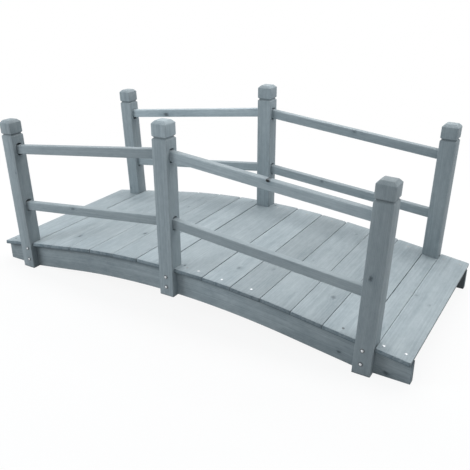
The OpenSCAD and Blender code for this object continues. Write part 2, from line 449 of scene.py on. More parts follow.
def set_grain(piece, run, half, character, knots=()):
    """Stores where each point lies in its timber, the timber's half size, its character and its knots."""
    count = len(piece.data.vertices)
    write_points(piece, "grain", run)
    write_points(piece, "half_size", [half] * count)
    write_points(piece, "character", [character] * count)
    full = (list(knots) + [NO_KNOT] * KNOTS_PER_TIMBER)[:KNOTS_PER_TIMBER]
    for i, knot in enumerate(full):
        write_points(piece, f"knot_{i}", [knot[:3]] * count)
    write_points(piece, "knot_depth", [[knot[3] for knot in full]] * count)


def fade(piece, extra):
    """Makes a timber paler or darker from place to place: extra gives the change of tone at a point."""
    layer = piece.data.attributes["character"].data
    for point, value in zip(piece.data.vertices, layer):
        value.vector = value.vector + Vector((extra(point.co), 0, 0))


def finish_piece(piece, material, node=None):
    """Gives a piece its finish, and lets a timber stand for its solid."""
    smooth(piece)
    piece.data.materials.clear()
    piece.data.materials.append(material)
    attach(piece, BODY)
    if node:
        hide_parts(node)


class Shade:
    """Value in a shader: wraps a socket, and sums of values add their own Math nodes."""

    def __init__(self, tree, socket=None):
        self.tree = tree
        self.socket = socket

    def node(self, kind, settings=None, inputs=None, out=0):
        """Adds any node: its settings are set first, and then its sockets' values or links."""
        made = self.tree.nodes.new(kind)
        for key, value in (settings or {}).items():
            setattr(made, key, value)
        for key, value in (inputs or {}).items():
            if isinstance(value, Shade):
                self.tree.links.new(value.socket, made.inputs[key])
            else:
                made.inputs[key].default_value = value
        return Shade(self.tree, made.outputs[out] if made.outputs else None)

    def math(self, operation, *values):
        """Adds a Math node."""
        return self.node("ShaderNodeMath", {"operation": operation}, dict(enumerate(values)))

    def __add__(self, other):
        return self.math("ADD", self, other)

    def __radd__(self, other):
        return self.math("ADD", other, self)

    def __sub__(self, other):
        return self.math("SUBTRACT", self, other)

    def __rsub__(self, other):
        return self.math("SUBTRACT", other, self)

    def __mul__(self, other):
        return self.math("MULTIPLY", self, other)

    def __truediv__(self, other):
        return self.math("DIVIDE", self, other)

    def __pow__(self, other):
        return self.math("POWER", self, other)

    def __abs__(self):
        return self.math("ABSOLUTE", self)


def new_material(name):
    """Empty material, and the wrapper that adds its nodes."""
    material = bpy.data.materials.new(name)
    material.use_nodes = True
    material.node_tree.nodes.clear()
    return material, Shade(material.node_tree)


def vector(at, x, y, z):
    """Vector of three values."""
    return at.node("ShaderNodeCombineXYZ", None, {0: x, 1: y, 2: z})


def size_of(at, value):
    """Length of a vector."""
    return at.node("ShaderNodeVectorMath", {"operation": "LENGTH"}, {0: value}, "Value")


def noise(at, place, seed, detail, roughness=0.55):
    """Noise round a middle of zero."""
    made = at.node("ShaderNodeTexNoise", {"noise_dimensions": "4D"},
                   {"Vector": place, "W": seed, "Scale": 1.0, "Detail": detail, "Roughness": roughness})
    return made - 0.5


def scaled(at, value, factor):
    """Vector times a factor."""
    return at.node("ShaderNodeVectorMath", {"operation": "SCALE"}, {0: value, "Scale": factor})


def smooth_step(at, value, low, high):
    """0 up to the low limit and 1 from the high one, with a soft rise between."""
    return at.node("ShaderNodeMapRange", {"interpolation_type": "SMOOTHSTEP"},
                   {0: value, 1: low, 2: high, 3: 0.0, 4: 1.0})


def mix(at, share, first, second):
    """Share of the second colour over the first."""
    return at.node("ShaderNodeMix", {"data_type": "RGBA", "clamp_factor": True},
                   {0: share, 6: first, 7: second}, 2)


def rgba(value):
    """Opaque colour."""
    return (*value, 1.0)


def seen_directly(at):
    """1 for what the camera sees, also in a reflection or through something clear."""
    rays = at.node("ShaderNodeLightPath").socket.node.outputs
    seen = Shade(at.tree, rays["Is Camera Ray"])
    for other in ("Is Glossy Ray", "Is Transmission Ray"):
        seen = seen.math("MAXIMUM", seen, Shade(at.tree, rays[other]))
    return seen


def attribute(at, name):
    """Three values that are stored for each point."""
    made = at.node("ShaderNodeAttribute", {"attribute_name": name}, None, "Vector")
    parts = made.node("ShaderNodeSeparateXYZ", None, {0: made})
    outputs = parts.socket.node.outputs
    return [Shade(at.tree, outputs[i]) for i in range(3)]


def layer(at, kind, run, seed, aside=0.0):
    """Layer of the grain, drawn out along the timber; aside pushes it sideways."""
    along_scale, across_scale, detail, roughness = GRAIN[kind]
    u, v, w = run
    place = vector(at, u * along_scale, v * across_scale + aside, w * across_scale)
    return noise(at, place, seed, detail, roughness)


def band(at, kind, inset, ragged):
    """1 along a timber's edge and 0 further in, with a ragged limit."""
    full, gone, stray = (size * MM for size in BANDS[kind])
    return 1.0 - smooth_step(at, inset + ragged * stray, full, gone)


def knot_marks(at, u, v, ragged):
    """How far the knots push the grain aside, and how much of a heart and of a whorl they make."""
    depths = attribute(at, "knot_depth")
    push, heart, whorl = 0.0, 0.0, 0.0
    for i in range(KNOTS_PER_TIMBER):
        knot_u, knot_v, knot_r = attribute(at, f"knot_{i}")
        reach = size_of(at, vector(at, (u - knot_u) * KNOT_LENGTH_SHARE, v - knot_v, 0.0)) / knot_r
        push = push + knot_r * KNOT_PUSH / (1.0 + reach * reach)
        heart = heart + (1.0 - smooth_step(at, reach + ragged * KNOT_RAG, *HEART_LIMITS)) * depths[i]
        whorl = whorl + (1.0 - smooth_step(at, reach, *WHORL_LIMITS)) * depths[i]
    return push, heart, whorl


def timber_material(name, ring_gap, figure, grime=0.0, drip=0.0, sole=0.0, blotch=0.0):
    """Stained softwood: growth rings, fibres, knots, dark ends and edges, along each timber. The dark ends
    are stain soaked into end grain with painted shade, the dark edges dirt with painted shade.

    Figure is the strength of the grain. Grime and shade darken the long edges, painted shade darkens the
    upper edge of a face under an overhang and the underside, and blotch makes the stain patchy."""
    colours = bpy.context.scene.bridge_finish
    material, at = new_material(name)
    run = attribute(at, "grain")
    u, v, w = run
    half_u, half_v, half_w = attribute(at, "half_size")
    tone, seed, pith = attribute(at, "character")

    wander = layer(at, "wander", run, seed)
    ragged = noise(at, vector(at, *(place * count for place, count in zip(run, KNOT_EDGE))), seed, 2.0)
    push, heart, whorl = knot_marks(at, u, v, ragged)
    own = seed - MIDDLE_SEED
    across = vector(at, v + wander * RING_WANDER + own * RING_ASIDE, w + pith, 0.0)
    rings = (size_of(at, across) + u * own * RING_SLANT + push) / ring_gap
    late = rings.math("FRACT", rings) ** RING_SHARPNESS
    fibre = layer(at, "fibre", run, seed)
    streak = layer(at, "streak", run, seed, push * STREAK_PUSH)
    cloud = layer(at, "cloud", run, seed)
    mottle = layer(at, "mottle", run, seed)
    flecks = smooth_step(at, layer(at, "flecks", run, seed), *FLECK_LIMITS)

    inset_u = half_u - abs(u)
    inset_v = half_v - abs(v)
    inset_w = half_w - abs(w)
    rim = inset_v.math("MAXIMUM", inset_v, inset_w)
    worn = band(at, "worn", rim, cloud) * (0.75 + streak)
    soaked = band(at, "soaked", inset_u, fibre)
    dirt_and_shade = (band(at, "grime", inset_v, mottle) * grime + band(at, "drip", half_v - v, cloud) * drip
            + band(at, "sole", half_w + w, mottle) * sole)

    # Share of the light stain at each point, and then the darker stains, dirt and painted shade over it
    figured = streak * 0.75 + fibre * 0.42 + mottle * 0.75 - late * 0.22
    pale = 0.5 + figured * figure + cloud * 0.55 + worn * 0.2 - flecks * 0.2 - whorl * 0.16
    if blotch:
        pale = pale + layer(at, "blotch", run, seed) * blotch
    stained = mix(at, pale, rgba(colours.stain_dark), rgba(colours.stain_light))
    stained = mix(at, soaked * (0.62 + mottle * 2.4), stained, rgba(colours.end_grain))
    stained = mix(at, dirt_and_shade, stained, rgba(colours.grime))
    stained = scaled(at, stained, 1.0 + tone * TONE_SHARE)
    stained = mix(at, heart * (0.85 + fibre * 0.7), stained, rgba(colours.knot))
    # Painted shade: the deepest knots get the near-black of a hole
    stained = mix(at, smooth_step(at, heart, *HOLE_LIMITS), stained, rgba(colours.hole))

    # Relief and gloss follow the grain
    height = late * 0.5 + fibre * 0.9 + streak * 0.8 + mottle * 0.8 - flecks * 0.7 + heart * 0.8
    bump = at.node("ShaderNodeBump", None, {"Strength": 0.35, "Distance": GRAIN_RELIEF, "Height": height})
    rough = 0.66 - late * 0.1 + fibre * 0.2 + soaked * 0.12 - heart * 0.12
    surface = at.node("ShaderNodeBsdfPrincipled", None,
                      {"Base Color": stained, "Roughness": rough, "Normal": bump, "Specular IOR Level": 0.28})
    at.node("ShaderNodeOutputMaterial", None, {"Surface": surface})
    return material


def zinc_material(name):
    """Bright plated steel, a little cloudy and finely scratched."""
    colours = bpy.context.scene.bridge_finish
    material, at = new_material(name)
    place = at.node("ShaderNodeTexCoord", None, None, "Object")
    cloud = noise(at, scaled(at, place, 420.0), 1.0, 3.0)
    drawn_out = at.node("ShaderNodeMapping", None, {0: place, 3: (2600.0, 260.0, 900.0)})
    scratch = noise(at, drawn_out, 2.0, 2.0)
    dullness = attribute(at, "dullness")[0]
    # Washers take the dull zinc as painted shade round each head; dull nails are weathered
    shade = mix(at, 0.86 + cloud * 0.9 - dullness * 0.7, rgba(colours.dull_zinc_and_shade), rgba(colours.zinc))
    bump = at.node("ShaderNodeBump", None, {"Strength": 0.2, "Distance": HAIR, "Height": scratch})
    surface = at.node("ShaderNodeBsdfPrincipled", None,
                      {"Base Color": shade, "Metallic": 0.8, "Roughness": 0.34 + cloud * 0.3 + scratch * 0.2,
                       "Normal": bump})
    at.node("ShaderNodeOutputMaterial", None, {"Surface": surface})
    return material


def stock(name):
    """Finish by name, made when it is first asked for."""
    found = bpy.data.materials.get(name)
    if found:
        return found
    return timber_material(name, **TIMBERS[name]) if name in TIMBERS else zinc_material(name)


def characters(kind):
    """Random source for one kind of timber, the same at each run."""
    return random.Random(f"{bpy.context.scene.bridge_finish.seed} {kind}")


def character(dice, tone=0.0):
    """Tone, seed and depth of the pith of one timber."""
    return (tone, dice.uniform(*SEEDS), dice.uniform(*PITH_DEPTHS) * MM)


class BRIDGE_OT_stringers(bpy.types.Operator):
    """Bends the two arched stringers and cuts their feet flat"""

    bl_idname = "bridge.stringers"
    bl_label = "Stringers"

    # Tone of the outer faces from place to place along x, and painted shade on the inner faces, under the
    # deck
    FADE = ((-0.75, 2.6 * DARK), (-0.2, DULL), (0.15, 1.6 * PALE), (0.5, EVEN))
    SHADED_INSIDE = 1.75 * DARKEST
    ARC_STEPS = 40
    KNOTS = {"stringer_near": [(0.688, -0.018, 0.007, DEEP), (0.556, -0.018, 0.005, DEEP)],
             "stringer_far": [(-0.47, 0.014, 0.007, CLEAR), (0.28, -0.016, 0.005, CLEAR)]}

    def execute(self, context):
        sizes = context.scene.bridge_frame
        near = self.bent(sizes)
        far = twin(near, "far_stringer")
        dice = characters("stringers")
        longer = sizes.right_reach / 2
        for piece, node in ((near, "stringer_near"), (far, "stringer_far")):
            low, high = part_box(node)
            middle = (low.y + high.y) / 2
            put(piece, Matrix.Translation((0, middle, 0)))
            run = [(p.co.x - longer, p.co.z - top_edge(p.co.x) + sizes.stringer_depth / 2, p.co.y - middle)
                   for p in piece.data.vertices]
            half = (high.x + longer, sizes.stringer_depth / 2, (high.y - low.y) / 2)
            set_grain(piece, run, half, character(dice), self.KNOTS[node])
            # Inner faces take painted shade, outer faces their tone along x
            fade(piece, lambda p: self.tone_along(p.x) if abs(p.y) > abs(middle) else self.SHADED_INSIDE)
            finish_piece(piece, stock("stained_stringers"), node)
        return {"FINISHED"}

    def tone_along(self, x):
        """Tone of an outer face."""
        return np.interp(x, *zip(*self.FADE))

    def bent(self, sizes):
        """Band of even depth: an arc turned from its section, straight ramps, and flat feet."""
        thick = span("stringer_near").y
        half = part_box("stringer_near")[1].x
        turn = ramp_angle()
        centre = Vector((0, 0, sizes.crown_height - sizes.arch_radius))
        reach = sizes.arch_radius - sizes.stringer_depth / 2
        start = centre + reach * Vector((-math.sin(turn), 0, math.cos(turn)))
        bpy.ops.mesh.primitive_plane_add(size=1, location=(0, 0, 0))
        piece = just_added("near_stringer")
        bpy.ops.transform.resize(value=(sizes.stringer_depth, thick, 1), center_override=(0, 0, 0))
        bpy.ops.object.transform_apply(location=False, rotation=False, scale=True)
        put(piece, Matrix.Translation(start) @ Matrix.Rotation(-turn - math.pi / 2, 4, "Y"))
        ramp = half - sizes.arch_half_length + sizes.stringer_depth
        with editing(piece):
            bpy.ops.mesh.select_all(action="SELECT")
            bpy.ops.mesh.spin(steps=self.ARC_STEPS, angle=2 * turn, center=centre, axis=(0, -1, 0))
            bpy.ops.mesh.extrude_region_move(
                TRANSFORM_OT_translate={"value": (ramp * math.cos(turn), 0, -ramp * math.sin(turn))})
            pick_faces(piece, lambda c, n: (c - start).length < HAIR)
            bpy.ops.mesh.extrude_region_move(
                TRANSFORM_OT_translate={"value": (-ramp * math.cos(turn), 0, -ramp * math.sin(turn))})
            slice_at((half + sizes.right_reach, 0, 0), (1, 0, 0), True)
            slice_at((-half, 0, 0), (-1, 0, 0), True)
            slice_at((0, 0, 0), (0, 0, -1), True)
            bpy.ops.mesh.select_all(action="SELECT")
            bpy.ops.mesh.remove_doubles(threshold=HAIR / 10)
            bpy.ops.mesh.normals_make_consistent(inside=False)
        ease(piece, sizes.edge_ease)
        return piece


class BRIDGE_OT_boards(bpy.types.Operator):
    """Lays the deck boards across the stringers"""

    bl_idname = "bridge.boards"
    bl_label = "Deck boards"

    # Boards are counted from the left, from 0
    TONES = {6: PALE, 8: PALE, 9: DARK, 12: PALE, 13: PALE, 14: PALE}
    # Width of each joint and how far it lies to the right of the solids' joint, in millimetres
    TIGHT, NARROW, CLOSE, OPEN, WIDE = 0.3, 0.8, 1.5, 2.4, 4.4
    JOINTS = ((WIDE, 0), (TIGHT, 0), (TIGHT, 0), (NARROW, 0), (TIGHT, 0), (OPEN, -1.5), (WIDE, -2.5),
              (CLOSE, -1.5), (CLOSE, -1.5), (NARROW, 0), (TIGHT, -2), (NARROW, -3), (CLOSE, 0), (TIGHT, 0))
    KNOTS = {
        1: [(0.21, 0.014, 0.006, CLEAR)],
        2: [(-0.224, 0.0, 0.0075, DEEP)],
        4: [(0.158, -0.019, 0.005, CLEAR), (-0.137, -0.039, 0.008, DEEP)],
        6: [(0.312, -0.018, 0.004, CLEAR), (-0.06, 0.02, 0.004, FAINT)],
        7: [(-0.2886, 0.011, 0.0042, DEEP), (0.314, 0.01, 0.004, DEEP)],
        8: [(-0.2086, -0.011, 0.0075, CLEAR)],
        9: [(-0.149, -0.001, 0.007, FAINT)],
        10: [(0.26, -0.016, 0.006, FAINT), (-0.02, 0.022, 0.005, FAINT)],
        11: [(-0.175, -0.017, 0.008, CLEAR)],
        12: [(0.05, 0.02, 0.004, FAINT)],
        14: [(0.0074, 0.037, 0.006, FAINT), (-0.021, -0.011, 0.0045, FAINT)],
    }
    # Boards that are tapered, over this share of their length
    TAPERED = (2, 3)
    TAPER_SHARE = 1 / 3
    # Slant of the chips across and down a board's corner
    CHIP_SLANT = (0.6, 0.3)
    EASE_SHARE = 0.7
    CUTS = 7
    NOTCH_GAP = 0.5 * MM
    # The sawn side of the last board, which gets painted shade: how deep its points lie, and how far below
    # the board's top
    SKIN, LIP = 0.3 * MM, 1 * MM

    def execute(self, context):
        sizes = context.scene.bridge_frame
        railing = context.scene.bridge_railing
        dice = characters("boards")
        for i, node in enumerate(BOARDS):
            low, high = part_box(node)
            thick = sizes.board_thickness
            middle = self.seat_place((low.x + high.x) / 2, sizes)
            turn = slope(middle)
            long = high.y - low.y + sizes.far_reach
            left, right = self.growth(i, sizes)
            wide = (high.x - low.x - thick * abs(math.sin(turn))) / math.cos(turn) + left + right
            piece = block(node.replace("deck_", ""), (long, wide, thick))
            with editing(piece):
                for end in (-1, 1):
                    skew = math.tan(dice.uniform(-1, 1) * sizes.end_skew)
                    slice_at((end * (long - sizes.end_wander) / 2, 0, 0), (end, skew, 0), True)
                if i in self.TAPERED:
                    run = long * self.TAPER_SHARE
                    slice_at((run - long / 2, -wide / 2, 0), (-sizes.taper / run, -1, 0), True)
                pick_edges(piece, lambda a, b: along(0)(a, b) and a.z > 0)
                round_off(sizes.board_round, 3)
                pick_edges(piece, lambda a, b: along(1)(a, b) and a.z > thick / 2 - HAIR)
                round_off(sizes.end_round, 2)
                aslant, down = self.CHIP_SLANT
                for end, edge in CORNERS:
                    lost = dice.uniform(0, sizes.chip)
                    slice_at((end * (long / 2 - lost), edge * wide / 2, 0), (end, edge * aslant, down), True)
                pick_edges(piece, along(0))
                bpy.ops.mesh.subdivide(number_cuts=self.CUTS)
            stray = dice.uniform(-1, 1) * sizes.end_wander
            place = (on_arch(middle) @ Matrix.Translation((0, 0, sizes.seat_gap + thick / 2))
                     @ Matrix.Rotation(math.pi / 2, 4, "Z")
                     @ Matrix.Translation((stray + sizes.far_reach / 2, (left - right) / 2, 0)))
            put(piece, place)
            for post, board in POST_BOARDS.items():
                if board == i:
                    self.notch(piece, railing, post)
            ease(piece, sizes.edge_ease * self.EASE_SHARE)
            grow_wood(piece, place, (0, 1, 2), ((long - sizes.end_wander) / 2, wide / 2, thick / 2),
                      character(dice, self.TONES.get(i, EVEN)),
                      [(at - sizes.far_reach / 2, *rest) for at, *rest in self.KNOTS.get(i, ())])
            # Painted shade on the last board's sawn right side
            if i == len(self.JOINTS):
                fade(piece, lambda p: DARKEST * self.on_right_side(place.inverted() @ p, wide, thick))
            finish_piece(piece, stock("stained_boards"), node)
        return {"FINISHED"}

    def seat_place(self, middle, sizes, rounds=4):
        """Where a board's seat lies along the arch, found from the board's middle in a few rounds."""
        place = middle
        for _ in range(rounds):
            place = middle - (sizes.seat_gap + sizes.board_thickness / 2) * math.sin(slope(place))
        return place

    def on_right_side(self, spot, wide, thick):
        """Whether a point lies on the sawn right side of a board, below its rounded edge, where shade is
        painted.
        """
        return spot.y < self.SKIN - wide / 2 and spot.z < thick / 2 - self.LIP

    def growth(self, i, sizes):
        """How far a board's left and right edges run past its solid's, into the joints beside it."""
        left, right = 0.0, sizes.right_reach
        if i > 0:
            gap, shift = self.JOINTS[i - 1]
            left = (sizes.board_gap - gap * MM) / 2 - shift * MM
        if i < len(self.JOINTS):
            gap, shift = self.JOINTS[i]
            right = (sizes.board_gap - gap * MM) / 2 + shift * MM
        return left, right

    def notch(self, piece, railing, place):
        """Room for the laps of two posts, in the board's overhang."""
        wide = railing.post_side + 2 * self.NOTCH_GAP
        for side, _ in SIDES:
            cutter = block("notch", (wide, railing.lap * 2, 2 * railing.post_side))
            y = side * (CAD_HIGH.y - self.NOTCH_GAP)
            put(cutter, post_place(place) @ Matrix.Translation((0, y, 0)))
            carve(piece, cutter)


def post_place(place):
    """Where a post's axis crosses the stringers' top edge, with its lean: -1 left, 0 middle, 1 right."""
    railing = bpy.context.scene.bridge_railing
    x = place * (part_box("stringer_near")[1].x - railing.post_inset)
    return Matrix.Translation((x, 0, top_edge(x))) @ Matrix.Rotation(place * railing.post_lean, 4, "Y")


def rail_line(level):
    """Height at the middle, slope, and start and end of a right-hand rail, along x."""
    railing = bpy.context.scene.bridge_railing
    high = getattr(railing, f"{level}_mid")
    low = getattr(railing, f"{level}_end")
    foot = post_place(1).translation
    post_x = foot.x + (low - foot.z) * math.tan(railing.post_lean)
    turn = math.atan2(high - low, post_x)
    start = railing.post_side / 2 - railing.tenon
    end = post_x - railing.post_side / 2 / math.cos(railing.post_lean) + railing.tenon
    return high, turn, start, end


def rail_place(level, hand, side):
    """Middle and turn of a rail: hand is -1 at the left and 1 at the right, side -1 near and 1 far."""
    railing = bpy.context.scene.bridge_railing
    high, turn, start, end = rail_line(level)
    x = (start + end) / 2
    y = side * (CAD_HIGH.y - railing.post_side / 2)
    return (Matrix.Translation((hand * x, y, high - x * math.tan(turn)))
            @ Matrix.Rotation(hand * turn, 4, "Y"))


class BRIDGE_OT_posts(bpy.types.Operator):
    """Turns out the six posts: V groove, chamfered cap, lap and mortises"""

    bl_idname = "bridge.posts"
    bl_label = "Posts"

    TONES = {"post_near_left": DARK, "post_near_right": DARK, "post_far_left": DULL, "post_far_mid": DULL,
             "post_far_right": DULL}
    # Tones that a cap adds to its post's; a cap's top gets painted shade, and a post's right side painted
    # light and shade
    CAPS = {"post_near_mid": 2.2 * PALE}
    RIGHT_SIDE_LIGHT_AND_SHADE = {"post_near_left": DARK, "post_near_mid": PALE, "post_far_mid": 1.6 * PALE}
    SHADED_TOPS = {"post_near_right": 1.5 * DARK}
    # Degrees about y that a post leans away from its solid
    LEANS = {"post_far_right": -0.65, "post_far_left": -0.4}
    # Rings of the cap's softened chamfer: how far down and how far in, as shares of the chamfer
    PILLOW = ((1.0, 0.0), (0.86, 0.08), (0.1, 0.86), (0.0, 1.0))
    KNOTS = {"post_near_right": [(0.205, -0.0064, 0.006, DEEP)],
             "post_near_left": [(0.278, 0.0165, 0.003, CLEAR)],
             "post_far_left": [(0.036, -0.017, 0.004, CLEAR)]}
    # How near a groove or a cap's top a point lies to take its tone
    NEAR = 1 * MM
    SLOT_END_GAP = 1 * MM

    def execute(self, context):
        railing = context.scene.bridge_railing
        dice = characters("posts")
        blanks = {0: self.blank("middle_blank", railing, railing.mid_rise),
                  1: self.blank("end_blank", railing, railing.end_rise)}
        for side, depth in SIDES:
            for place, hand in POST_PLACES:
                node = f"post_{depth}_{hand}"
                piece = twin(blanks[abs(place)], f"{depth}_{hand}_post")
                home = (Matrix.Translation((0, side * (CAD_HIGH.y - railing.post_side / 2), 0))
                        @ post_place(place) @ Matrix.Rotation(math.radians(self.LEANS.get(node, 0)), 4, "Y"))
                put(piece, home)
                self.shoulder(piece, context, place, side)
                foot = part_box(node)[0].z
                with editing(piece):
                    slice_at((0, 0, foot), (0, 0, -1), True)
                    slice_at((0, 0, foot + railing.dark_foot), (0, 0, 1))
                ease(piece, context.scene.bridge_frame.edge_ease)
                for hand_of_bay in (-1, 1) if place == 0 else (place,):
                    for level in ("upper", "lower"):
                        carve(piece, self.mortise(railing, level, hand_of_bay, side))
                tall = railing.mid_rise if place == 0 else railing.end_rise
                grow_wood(piece, home, (2, 0, 1), (2 * tall, railing.post_side / 2, railing.post_side / 2),
                          character(dice, self.TONES.get(node, EVEN)), self.KNOTS.get(node, ()))
                fade(piece, self.tone_and_painted_light(node, home.inverted(), tall, foot, railing))
                finish_piece(piece, stock("stained_posts"), node)
        for blank in blanks.values():
            drop(blank)
        return {"FINISHED"}

    def blank(self, name, railing, rise):
        """Post with its groove and cap, longer than needed at the foot."""
        below = bpy.context.scene.bridge_frame.crown_height + railing.post_side
        piece = block(name, (railing.post_side, railing.post_side, rise + below))
        put(piece, Matrix.Translation((0, 0, (rise - below) / 2)))
        lip = rise - railing.cap_height
        groove_floor = lip - railing.groove / 2
        half = railing.post_side / 2
        chamfer = railing.cap_chamfer
        with editing(piece):
            pick_edges(piece, along(2))
            round_off(railing.post_round, 3)
            for z in (lip - railing.groove, groove_floor, lip):
                slice_at((0, 0, z), (0, 0, 1))
            self.narrow(piece, groove_floor, railing.groove / 2, half)
            rounder = railing.cap_round / railing.post_round
            for sx, sy in CORNERS:
                pick_points(piece, lambda p: p.z > lip - HAIR and sx * p.x > 0 and sy * p.y > 0)
                corner = (sx * half, sy * half, 0)
                bpy.ops.transform.resize(value=(rounder, rounder, 1), center_override=corner)
            for down, inward in self.PILLOW:
                if down:
                    slice_at((0, 0, rise - down * chamfer), (0, 0, 1))
                self.narrow(piece, rise - down * chamfer, inward * chamfer, half)
        return piece

    def tone_and_painted_light(self, node, local, tall, foot, railing):
        """Change of tone over a post: painted shade in the groove, a darker foot, a cap of its own, painted
        shade on a cap's top and painted light and shade on a right side.
        """
        lip = tall - railing.cap_height

        def extra(point):
            spot = local @ point
            # Painted shade in the V groove; the foot is darker too
            in_groove = abs(spot.z - lip + railing.groove / 2) < self.NEAR
            tone = DARKEST * (in_groove or point.z < foot + 2 * self.NEAR)
            tone += self.CAPS.get(node, EVEN) * (spot.z > lip - self.NEAR)
            # Painted shade on a cap's top
            tone += self.SHADED_TOPS.get(node, EVEN) * (spot.z > tall - self.NEAR)
            # Painted light and shade on the right side
            return tone + self.RIGHT_SIDE_LIGHT_AND_SHADE.get(node, EVEN) * (spot.x > 0)

        return extra

    def narrow(self, piece, z, inward, half):
        """Draws the ring of points at one height towards the post's axis."""
        pick_points(piece, lambda p: abs(p.z - z) < HAIR)
        share = 1 - inward / half
        bpy.ops.transform.resize(value=(share, share, 1), center_override=(0, 0, z))

    def shoulder(self, piece, context, place, side):
        """Cuts away what lies inside the lap and below the board that the post stands on."""
        sizes = context.scene.bridge_frame
        railing = context.scene.bridge_railing
        low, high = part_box(BOARDS[POST_BOARDS[place]])
        seat = sizes.board_thickness + 2 * sizes.seat_gap
        tall = 2 * sizes.crown_height
        deep = railing.post_side
        x = (low.x + high.x) / 2
        outer = CAD_HIGH.y - railing.lap
        cutter = block("shoulder", (6 * railing.post_side, deep, tall))
        put(cutter, on_arch(x) @ Matrix.Translation((0, side * (outer - deep / 2), seat - tall / 2)))
        carve(piece, cutter)

    def mortise(self, railing, level, hand, side):
        """Slot with rounded corners, as long as a rail and its clearance."""
        _, turn, start, end = rail_line(level)
        wide = railing.rail_thickness + 2 * railing.slot_gap
        tall = railing.rail_height + 2 * railing.slot_over
        long = (end - start) / math.cos(turn) + 2 * self.SLOT_END_GAP
        cutter = block("mortise", (long, wide, tall))
        with editing(cutter):
            pick_edges(cutter, along(0))
            round_off(railing.slot_round, 6)
        put(cutter, rail_place(level, hand, side))
        return cutter


class BRIDGE_OT_rails(bpy.types.Operator):
    """Rounds the eight rails and lets them into the posts"""

    bl_idname = "bridge.rails"
    bl_label = "Rails"

    TONES = {"rail_near_right_upper": BLEACHED, "rail_far_left_upper": BLEACHED, "rail_near_left_lower": DULL,
             "rail_near_left_upper": DARK}
    # Painted shade on a rail's top: what the top adds to the rail's tone, so that it stays darker than the
    # paler sides
    SHADED_TOPS = {"rail_near_right_upper": -BLEACHED}
    # Millimetres by which a rail's end at the end post is higher than its solid's
    LIFTS = {"rail_near_right_upper": 4, "rail_near_left_lower": -1, "rail_far_left_upper": 4,
             "rail_far_right_upper": -2}
    KNOTS = {"rail_near_left_lower": [(0.066, 0.0085, 0.006, CLEAR)],
             "rail_far_right_upper": [(0.013, 0.0078, 0.0055, CLEAR)],
             "rail_far_right_lower": [(-0.09, 0.0085, 0.005, CLEAR)],
             "rail_far_left_upper": [(0.128, -0.0045, 0.0095, DEEP)],
             "rail_near_right_upper": [(0.014, 0.0125, 0.0048, HOLE)]}
    CUTS = 9
    # How deep points lie that still count as a rail's top
    SKIN = 0.5 * MM

    def execute(self, context):
        railing = context.scene.bridge_railing
        dice = characters("rails")
        for level in ("upper", "lower"):
            _, turn, start, end = rail_line(level)
            long = (end - start) / math.cos(turn)
            blank = block(f"{level}_blank", (long, railing.rail_thickness, railing.rail_height))
            with editing(blank):
                pick_edges(blank, along(0))
                round_off(railing.rail_round, 5)
                pick_edges(blank, along(0))
                bpy.ops.mesh.subdivide(number_cuts=self.CUTS)
            ease(blank, context.scene.bridge_frame.edge_ease)
            for side, depth in SIDES:
                for hand, word in RAIL_HANDS:
                    node = f"rail_{depth}_{word}_{level}"
                    piece = twin(blank, f"{depth}_{word}_{level}_rail")
                    lift = self.LIFTS.get(node, 0) * MM
                    home = (Matrix.Translation((0, 0, lift / 2)) @ rail_place(level, hand, side)
                            @ Matrix.Rotation(-hand * lift / long, 4, "Y"))
                    put(piece, home)
                    half = (long / 2, railing.rail_height / 2, railing.rail_thickness / 2)
                    knots = [(hand * at, *rest) for at, *rest in self.KNOTS.get(node, ())]
                    tone = self.TONES.get(node, EVEN)
                    grow_wood(piece, home, (0, 2, 1), half, character(dice, tone), knots)
                    top = half[1] - self.SKIN
                    # Painted shade on the rail's top
                    fade(piece, lambda p: self.SHADED_TOPS.get(node, EVEN) * ((home.inverted() @ p).z > top))
                    finish_piece(piece, stock("stained_rails"), node)
            drop(blank)
        return {"FINISHED"}


